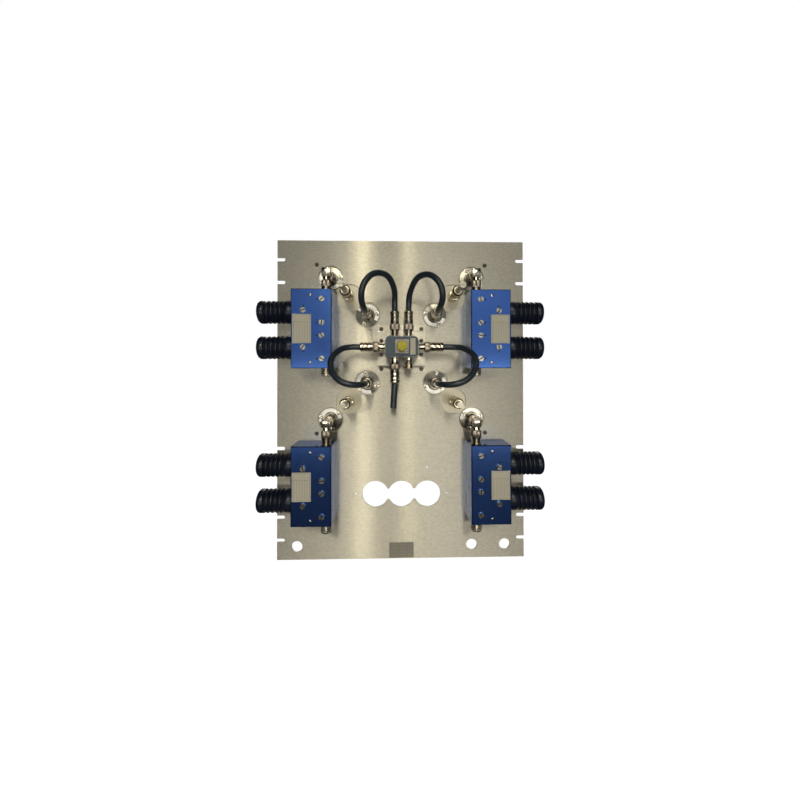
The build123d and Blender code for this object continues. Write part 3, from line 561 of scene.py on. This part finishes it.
# ---- isolator faces: six slotted screws with index dots, two cover screws and a ruled label each ----
# Insets count from the side with the loads, drops from the top.
FACE_SCREWS = ((56.0, 18.6), (56.0, 61.2), (56.0, 84.4), (56.0, 126.4), (22.5, 39.2), (22.5, 105.8))
LABEL_H, LABEL_MARGIN = 52.5, 2.0
screws = Piece("face_screws")
plates = Piece("label_plates")
for n, (corner, (a, _)) in enumerate(CORNERS.items()):
    side, top = a * (HOUSE_X + HOUSE_W / 2), top_of(corner)
    for i, (inset, down) in enumerate(FACE_SCREWS):
        x, z = side - a * inset, top - down
        slotted(screws, at(x, z, HOUSE_D), FRONT, 5.2, 2.8, 37 * i + 50 * n, gap=0.5, depth=1.0)
        dx, dz = (a * 9.0, 0) if inset > 40 else (0, 7.6 if down < 60 else -7.6)
        dot = [(0, -0.1), (1.6, -0.1), (1.6, 0.04), (0, 0.04)]
        screws.turn(at(x + dx, z + dz, HOUSE_D), FRONT, dot, RECESS_SHADE_AND_INK, 16)
    for down in (11.4, 133.7):
        cross_head(screws, at(side - a * 34.8, top - down, HOUSE_D), FRONT, 2.75, 1.0, STEEL)
    x0, x1 = sorted((side - a * 2.6, side - a * 36.6))
    z1, z0 = top - 46.2, top - 98.7
    plates.block(at(x0, z0, HOUSE_D + 0.35), at(x1, z1, HOUSE_D), LABEL, 0.12)
    rim = HOUSE_D + 0.34
    for u in (0.06, 0.115, 0.26, 0.40, 0.54, 0.68, 0.82, 0.94):
        x = x0 + (x1 - x0) * u
        w, head = (0.16, LABEL_MARGIN) if u in (0.06, 0.94) else (0.11, 14.0)
        rule(plates, x - w, z0 + LABEL_MARGIN, x + w, z1 - head, rim, rim + 0.06)
    for v in (LABEL_MARGIN, LABEL_H - LABEL_MARGIN, LABEL_H - 14.0):
        rule(plates, x0 + LABEL_MARGIN, z0 + v - 0.14, x1 - LABEL_MARGIN, z0 + v + 0.14, rim, rim + 0.06)
screws.done(replaces=["isolator_tuning_screws", "isolator_cover_screws"], slot="steel_screws")
plates.done(replaces=["isolator_labels"], slot="label")

# ---- coupling loops: turned plate and jack, engraved half-circle scale, clamp screws, strip behind ----
# Degrees from the right: where each plate's first clamp screw and the middle of its scale stand.
INPUT_TURNS = {"upper_left": 8, "upper_right": -3, "lower_left": 43, "lower_right": 17}
OUTPUT_TURNS = {"upper_left": 8, "upper_right": 54, "lower_left": -16, "lower_right": 79}
INPUT_SCALES = {"upper_left": 225, "upper_right": 315, "lower_left": 100, "lower_right": 90}
OUTPUT_SCALES = {"upper_left": 60, "upper_right": 250, "lower_left": 200, "lower_right": 300}
LOOP_PLATE = [(0, 0), (22.6, 0), (23, 0.3), (23, 2.5), (22.5, 3.0), (13.4, 3.0), (13, 3.3), (13, 5.6),
              (12.4, 6.0), (9.4, 6.0), (9.2, 5.2), (8.6, 5.2), (8.4, 6.4)]
LOOP_THREAD = [(8.4, 6.0), (THREAD_R, 6.4)] + thread(6.4, 13.6) + [(7.4, 13.9), (0, 13.9)]
WASHER = [(3.3, 2.95), (4.3, 2.98), (4.3, 3.35), (3.2, 3.4)]
SCALE_OUT, SCALE_IN, SCALE_LOW, SCREW_CIRCLE = 22.45, 15.2, 2.9, 18.9
sector = [(SCALE_OUT * math.cos(t), SCALE_OUT * math.sin(t))
          for t in (math.radians(-92 + 184 * i / 24) for i in range(25))]
sector += [(SCALE_IN * math.cos(t), SCALE_IN * math.sin(t))
           for t in (math.radians(92 - 184 * i / 24) for i in range(25))]
for name, sense, turns, scales in (("input_loops", 1, INPUT_TURNS, INPUT_SCALES),
                                   ("output_loops", -1, OUTPUT_TURNS, OUTPUT_SCALES)):
    loop = Piece(name + "_dressed")
    for corner, (a, up) in CORNERS.items():
        x, z = along(corner, sense * PITCH)
        o = at(x, z, -PANEL_T)
        loop.turn(o, FRONT, soft(LOOP_PLATE, 0.25, 2), PLATE, 72)
        loop.turn(o, FRONT, LOOP_THREAD, NICKEL, 40)
        mid = scales[corner]
        for i in range(37):
            tick = rect(19.2 if i % 6 == 0 else 20.6, -0.16, 22.3, 0.16)
            loop.prism(o, FRONT, spoke(mid - 90 + i * 5), tick, SCALE_LOW, 3.03, RECESS_SHADE_AND_INK)
        loop.prism(o, FRONT, spoke(mid), sector, SCALE_LOW, 3.012, SCALE)
        spin = turns[corner]
        for k in range(3):
            s = o + spoke(spin + 120 * k) * SCREW_CIRCLE
            slotted(loop, s, FRONT, 3.25, 5.6, 40 + 77 * k + spin, gap=0.4, depth=0.9, low=2.9)
            loop.turn(s, FRONT, soft(WASHER, 0.1), NICKEL, 24)
        out = Vector((a, 0, up)).normalized() * sense
        for p, q, lo, hi in ((-1, 1, 0, 50), (11, 13, 0, 50), (-1, 13, 48, 50)):
            loop.prism(Vector((x, 0, z)), BACK, out, rect(p, -4, q, 4), lo, hi, BRASSY)
    loop.done(replaces=[name] + (["loop_clamp_screws"] if sense > 0 else []), slot="nickel")

# ---- tuning bushings and lock nuts ----
BUSHING = [(9.8, 21.85), (9.4, 22.0), (7.5, 22.0)] + thread(22.2, 41.6, 7.5, 1.4)
BUSHING += [(7.0, 41.9), (4.9, 42.0), (4.9, 36.0)]
LOCK_NUT = [(7.4, 42.0), (10, 42.0), (10, 44.0), (9.55, 44.3), (9.55, 45.2), (10, 45.5), (10, 55.0),
            (7.6, 58.0), (5.0, 58.0), (4.85, 57.0), (4.85, 50.0)]

seats = Piece("bushings")
nuts = Piece("lock_collars")
for corner in CORNERS:
    x, z = along(corner, 0)
    o = at(x, z, 0)
    seats.prism(o, FRONT, RIGHT, hexagon(20.0), -PANEL_T, 21.9, BRASSY, bevel=0.9)
    seats.turn(o, FRONT, [(7.5, -9.6), (7.5, -3.0)], BRASSY, 40)
    seats.turn(o, FRONT, BUSHING, BRASSY, 44)
    nuts.turn(o, FRONT, soft(LOCK_NUT, 0.3), BRASSY, 56)
seats.done(replaces=["tuning_bushings"], slot="brass_nickel")
nuts.done(replaces=["lock_nuts"], slot="brass_nickel")

# ---- right-angle adapters: two coupling nuts and necks on a cube ----
CUBE = 7.6  # half its side
NECK = [(5.6, 14.2), (6.9, 14.5), (6.9, 15.3), (6.3, 15.6), (6.3, 21.3)]
ELBOW_REACH = 14.5 + 6.6 + CUBE
elbows = Piece("right_angle_adapters")
for corner in CORNERS:
    x, z = along(corner, PITCH)
    for o, d in ((at(x, z, AXIS_H - ELBOW_REACH), FRONT), (at(x, z, AXIS_H) + DOWN * ELBOW_REACH, UP)):
        coupling(elbows, o, d, ELBOW_NUT)
        elbows.turn(o, d, soft(NECK, 0.2), NICKEL, 40)
    elbows.block(at(x - CUBE, z - CUBE, AXIS_H + CUBE), at(x + CUBE, z + CUBE, AXIS_H - CUBE), SATIN, 0.4, 2)
elbows.done(replaces=["elbow_adapters"], slot="nickel")

# ---- isolator jacks; the lower ones have clear caps ----
CAP = [(8.35, 0.02), (9.4, 0.02), (10, 0.4), (10, 1.6), (9.75, 1.9), (9.75, 11.6), (9.0, 14.0), (6.5, 15.0),
       (0, 15.0)]
jacks = Piece("isolator_jacks")
caps = Piece("clear_caps")
for corner in CORNERS:
    x = along(corner, PITCH)[0]
    top = top_of(corner)
    span = along(corner, PITCH)[1] - ELBOW_REACH - top
    prof = [(0, 0), (9.5, 0), (9.5, 1.7), (8.9, 2.2)]
    if span > 5:
        prof += [(7.2, 2.4), (7.2, 3.6)] + thread(3.8, span - 0.2)
    prof += [(THREAD_R, span - 0.05), (0, span - 0.05)]
    jacks.turn(at(x, top, AXIS_H), UP, prof, NICKEL, 44)
    o = at(x, top - HOUSE_H, AXIS_H)
    jacks.turn(o, DOWN, [(0, 0)] + thread(0.4, 11.6) + [(7.4, 12), (0, 12)], NICKEL, 36)
    caps.turn(o, DOWN, soft(CAP, 0.6), CLEAR, 44)
jacks.done(replaces=["isolator_output_jacks", "isolator_input_jacks"], slot="nickel")
caps.done(replaces=["input_jack_caps"], slot="clear_cap")

# ---- junction: upper, side and lower ports, the front jack with its cap, and a plain strip ----
ports = [(at(BLOCK_X + x, BLOCK_Z + BLOCK_HALF_H, BLOCK_H), UP) for x in (-PORT_STEP, PORT_STEP)]
ports += [(at(BLOCK_X - BLOCK_HALF_W, BLOCK_Z, BLOCK_H), LEFT)]
ports += [(at(BLOCK_X + BLOCK_HALF_W, BLOCK_Z, BLOCK_H), RIGHT)]
ports += [(at(BLOCK_X + x, BLOCK_Z - BLOCK_HALF_H, BLOCK_H), DOWN) for x in (-PORT_STEP, PORT_STEP)]
STUB_PORT, FREE_PORT = 4, 5
BOSS = [(7.6, 1.9), (7.6, 3.0), (6.35, 3.6)]
FREE_THREAD = [(7.2, 12.0)] + thread(12.0, 21.4) + [(7.5, 21.9), (6.2, 22.0), (6.0, 17.0), (4.0, 17.0)]
FREE_CORE = [(4.0, 16.0), (4.0, 20.5), (3.4, 20.6), (1.5, 20.6), (1.4, 19.0), (0, 19.0)]
star = Piece("junction_ports")
for i, (o, d) in enumerate(ports):
    half = FLANGE if abs(d.x) > 0.5 else 11.0
    star.prism(o, d, d.cross(FRONT), rect(-half, -FLANGE, half, FLANGE), 0, 2.0, NICKEL, bevel=0.3)
    if i == FREE_PORT:
        star.turn(o, d, soft(BOSS + [(6.35, 11.6), (7.2, 12.0)], 0.2), NICKEL, 44)
        star.turn(o, d, FREE_THREAD, NICKEL)
        star.turn(o, d, soft(FREE_CORE, 0.1), BRASSY, 28)
    else:
        star.turn(o, d, soft(BOSS + [(6.35, 12.7)], 0.2), NICKEL, 44)
face = at(BLOCK_X, BLOCK_Z, BLOCK_FACE)
star.prism(face, FRONT, RIGHT, rect(-FLANGE, -FLANGE, FLANGE, FLANGE), 0, 2.0, NICKEL, bevel=0.35)
star.turn(face, FRONT, soft([(7.9, 1.9), (7.9, 3.0), (6.35, 3.8), (6.35, 11.8)], 0.2), NICKEL, 44)
star.turn(face, FRONT, [(6.2, 11.8), (7.9, 12.0), (7.9, 21.9), (0, 21.9)], NICKEL, 44)
for sx in (-1, 1):
    for sz in (-1, 1):
        o = at(BLOCK_X + sx * 9.15, BLOCK_Z + sz * 9.15, BLOCK_FACE)
        slotted(star, o, FRONT, 1.9, 3.0, 30 + 60 * sx * sz, gap=0.25, depth=0.5, low=1.9)
star.done(replaces=["junction_jacks"], slot="nickel")

cap = Piece("yellow_cap_dressed")
prof = [(8.1, 0.4), (8.1, 0.02), (8.7, 0.02), (9.0, 0.3), (9.0, 9.8), (8.3, 10.9), (0, 11.0)]
cap.turn(at(BLOCK_X, BLOCK_Z, BLOCK_FACE + 11.9), FRONT, soft(prof, 0.6), YELLOW, 56)
cap.done(replaces=["junction_cap"], slot="yellow_cap", angle=50)

strip = Piece("plain_strip")
strip.block(at(BLOCK_X + 15.25, BLOCK_Z - 15, BLOCK_FACE + 0.35),
            at(BLOCK_X + 24.75, BLOCK_Z + 15, BLOCK_FACE), LABEL, 0.1)
strip.done(replaces=["junction_label"], slot="label")

# ---- screws through the panel and on the bracket ----
bolts = Piece("panel_screws")
for corner in CORNERS:
    for reach, seat in ((SCREW_REACH, 0.0), (-SCREW_REACH, 2.0)):
        x, z = along(corner, reach)
        cross_head(bolts, at(x, z, seat), FRONT, 3.9, 3.4, BOLT, low=-PANEL_T - seat)
for sx in (-1, 1):
    for sz in (-1, 1):
        cross_head(bolts, at(sx * 38.3, BLOCK_Z + sz * 13.5, 12.0), FRONT, 3.9, 3.4, BOLT, low=-2.0)
bolts.done(replaces=["cavity_screws", "bracket_screws"], slot="steel_screws")

# ---- plugs: each cable's two are one piece, the stub's is its own ----
for i, corner in enumerate(CORNERS):
    ends = Piece(corner + "_plugs")
    o, d = ports[i]
    plug(ends, o + d * PORT, d)
    x, z = along(corner, -PITCH)
    plug(ends, at(x, z, LOOP_TOP + LOOP_JACK), FRONT)
    ends.done(replaces=["junction_plugs", "cavity_plugs"], slot="nickel")
ends = Piece("stub_plug")
o, d = ports[STUB_PORT]
plug(ends, o + d * PORT, d)
ends.done(replaces=["junction_plugs"], slot="nickel")

# ---- plain plate at the foot of the panel ----
foot = Piece("foot_label")
foot.block(at(-24, -309.3, 0.35), at(24, -279.3, 0), SILVER, 0.12)
for z in (-282.3, -288.3, -294.3, -300.3, -306.3):
    rule(foot, -22, z - 0.14, 22, z + 0.14, 0.3, 0.40)
for x in (-22, -6, 10, 22):
    rule(foot, x - 0.14, -306.3, x + 0.14, -282.3, 0.3, 0.40)
foot.done(replaces=["panel_label"], slot="silver_label")

# ---- capped stub: a sleeve covers its end ----
stub = Piece("stub")
lean = math.radians(3.6)
d = Vector((-math.sin(lean), 0, -math.cos(lean)))
o = ports[STUB_PORT][0] + DOWN * (PORT + PLUG_L)
stub.turn(o, d, soft([(5.5, 0.3), (5.5, 46.2), (4.0, 47.6), (0, 47.8)], 0.8), RUBBER, 40)
stub.turn(o, d, soft([(5.5, 33.0), (5.78, 33.3), (5.78, 46.0), (5.5, 46.6)], 0.2), RUBBER, 40)
stub.done(replaces=["cable_stub"], slot="cable_black", angle=50)

# ---- jumper cables ----
# For each: its port, how far it runs straight from the plugs on the block and on the loop, the length in
# metres, and the spline's control points between, as X, height and Z.
ROUTES = {
    "upper_left": (0, 17.0, 22.5, 0.1989, ((-12.4, 44.3, 206.1), (-24.2, 66.7, 226.6), (-49.6, 84.6, 225.5),
                                           (-66.7, 93.8, 201.7), (-70.0, 88.1, 178.6))),
    "upper_right": (1, 15.0, 23.0, 0.1937, ((15.5, 41.5, 202.5), (26.7, 66.0, 223.3), (48.9, 83.0, 224.1),
                                            (65.6, 93.8, 204.4), (70.4, 89.9, 180.1))),
    "lower_left": (2, 15.0, 24.0, 0.1877, ((-111.1, 41.0, 97.5), (-126.1, 64.1, 78.3), (-122.7, 76.0, 56.8),
                                           (-107.3, 87.4, 38.6), (-83.9, 88.9, 31.8))),
    "lower_right": (3, 17.0, 24.0, 0.1974, ((114.0, 42.5, 98.5), (131.6, 66.5, 82.5), (129.0, 78.5, 58.0),
                                            (110.5, 88.0, 39.1), (86.0, 89.5, 31.9))),
}
for corner, (port, leave, arrive, length, between) in ROUTES.items():
    o, d = ports[port]
    start = o + d * (PORT + PLUG_L)
    x, z = along(corner, -PITCH)
    end = at(x, z, LOOP_TOP + LOOP_JACK + PLUG_L)
    route = [start, start + d * leave]
    route += [at(px, pz, ph) for px, ph, pz in between]
    route += [end + FRONT * arrive, end]
    curve = bpy.data.curves.new(corner + "_cable", "CURVE")
    curve.dimensions = "3D"
    line = curve.splines.new("NURBS")
    line.points.add(len(route) - 1)
    for point, place in zip(line.points, route):
        point.co = (*(place * MM), 1)
    line.order_u = 3
    line.use_endpoint_u = True
    line.resolution_u = 16
    curve.bevel_depth = CABLE_D / 2
    curve.bevel_resolution = 8
    curve.use_fill_caps = True
    curve.materials.append(RUBBER)
    cable = bpy.data.objects.new(corner + "_cable", curve)
    bpy.context.scene.collection.objects.link(cable)
    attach(cable, "combiner")
    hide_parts(corner + "_jumper")

# ---- floor: pale, and nearly white where the camera sees it ----
scene = bpy.context.scene
scene.view_settings.view_transform = "Standard"
me = bpy.data.meshes.new("floor")
bm = bmesh.new()
bmesh.ops.create_grid(bm, x_segments=1, y_segments=1, size=6.0)
bm.to_mesh(me)
bm.free()
floor = bpy.data.objects.new("floor", me)
floor.location = (0, 0, cad_box[0].z - 0.0005)
scene.collection.objects.link(floor)
m, nt, sh = material("floor")
sh.inputs["Base Color"].default_value = (0.92, 0.92, 0.92, 1)
sh.inputs["Roughness"].default_value = 0.8
glow = node(nt, "Emission", Color=(1, 1, 1, 1), Strength=1.08)
path = node(nt, "LightPath")
part = node(nt, "Math", operation="MULTIPLY")
part.inputs[1].default_value = 0.94
nt.links.new(path.outputs["Is Camera Ray"], part.inputs[0])
blend(nt, part.outputs[0], sh, glow)
me.materials.append(m)
floor.visible_glossy = False
floor.visible_shadow = False

# ---- room: white behind the part. The metal mirrors a dark one with a soft bright band above eye height ----
ROOM = [(0.2, (0.10, 0.10, 0.10)), (0.45, (0.075, 0.075, 0.08)), (0.505, (0.12, 0.123, 0.13)),
        (0.545, (0.36, 0.375, 0.40)), (0.61, (0.36, 0.375, 0.40)), (0.70, (0.07, 0.075, 0.08))]
world = bpy.data.worlds.new("studio")
scene.world = world
world.use_nodes = True
nt = world.node_tree
nt.nodes.clear()
node(nt, "OutputWorld")
white = node(nt, "Background", Color=(1, 1, 1, 1), Strength=1.0)
room = node(nt, "Background", Strength=1.0)
sky = node(nt, "TexCoord")
split = node(nt, "SeparateXYZ")
nt.links.new(sky.outputs["Generated"], split.inputs[0])
air = ramp(nt, map_range(nt, split.outputs["Z"], -1, 1, 0, 1), ROOM)
air = mix(nt, 1.0, air, map_range(nt, split.outputs["X"], -1, 1, 0.45, 1.65), "MULTIPLY")
air = mix(nt, 1.0, air, map_range(nt, split.outputs["Y"], -0.92, -0.70, 1.0, 0.10), "MULTIPLY")
nt.links.new(air, room.inputs[0])
path = node(nt, "LightPath")
blend(nt, path.outputs["Is Camera Ray"], room, white)


# ---- lamps, in metres ----
def lamp(name, place, aim, size, power, colour, spread=180):
    data = bpy.data.lights.new(name, "AREA")
    data.shape = "RECTANGLE"
    data.spread = math.radians(spread)
    data.size, data.size_y = size
    data.energy = power
    data.color = colour
    ob = bpy.data.objects.new(name, data)
    ob.location = place
    ob.rotation_mode = "QUATERNION"
    ob.rotation_quaternion = (Vector(aim) - Vector(place)).to_track_quat("-Z", "Y")
    scene.collection.objects.link(ob)


lamp("strip_left", (-0.292, -1.9, 1.2), (-0.07, 0, -0.2), (0.06, 2.0), 1.08, (1, 0.91, 0.67), 84)
lamp("strip_right", (0.092, -1.9, 1.2), (0.03, 0, -0.2), (0.05, 2.0), 0.68, (1, 0.91, 0.67), 84)
lamp("overhead", (-0.05, -1.98, 0.98), (-0.05, 0, -0.27), (3.2, 0.5), 2.35, (1, 0.95, 0.82), 40)
lamp("low_left", (-0.72, -2.2, -0.20), (-0.72, 0, -0.20), (1.0, 0.30), 4.9, (1, 0.95, 0.84))
lamp("low_right", (0.68, -2.2, -0.20), (0.68, 0, -0.20), (1.0, 0.30), 6.8, (1, 0.95, 0.84))
lamp("behind", (0.2, 1.8, 1.4), (0, 0.1, 0), (2.4, 1.6), 40, (1, 0.97, 0.92))

# ---- camera, as fitted to the photo: focal length and axis in the photo's pixels ----
PHOTO, SENSOR, FOCAL, AXIS_X, AXIS_Y = 800, 36.0, 330.35, 404.50, 365.80
cam = bpy.data.cameras.new("camera")
cam.sensor_width = SENSOR
cam.lens = SENSOR * FOCAL / PHOTO
cam.shift_x = -(AXIS_X - PHOTO / 2) / PHOTO
cam.shift_y = (AXIS_Y - PHOTO / 2) / PHOTO
cam.clip_start = 0.01
eye = bpy.data.objects.new("camera", cam)
pitch, roll, yaw = 0.007326, 0.000946, -0.024766
R = Matrix.Rotation(yaw, 3, "Z") @ Matrix.Rotation(pitch, 3, "X") @ Matrix.Rotation(roll, 3, "Y")
basis = Matrix((R.col[0], R.col[2], -R.col[1])).transposed()
eye.matrix_world = Matrix.Translation((-0.009787, -0.651871, 0.060722)) @ basis.to_4x4()
scene.collection.objects.link(eye)
scene.camera = eye
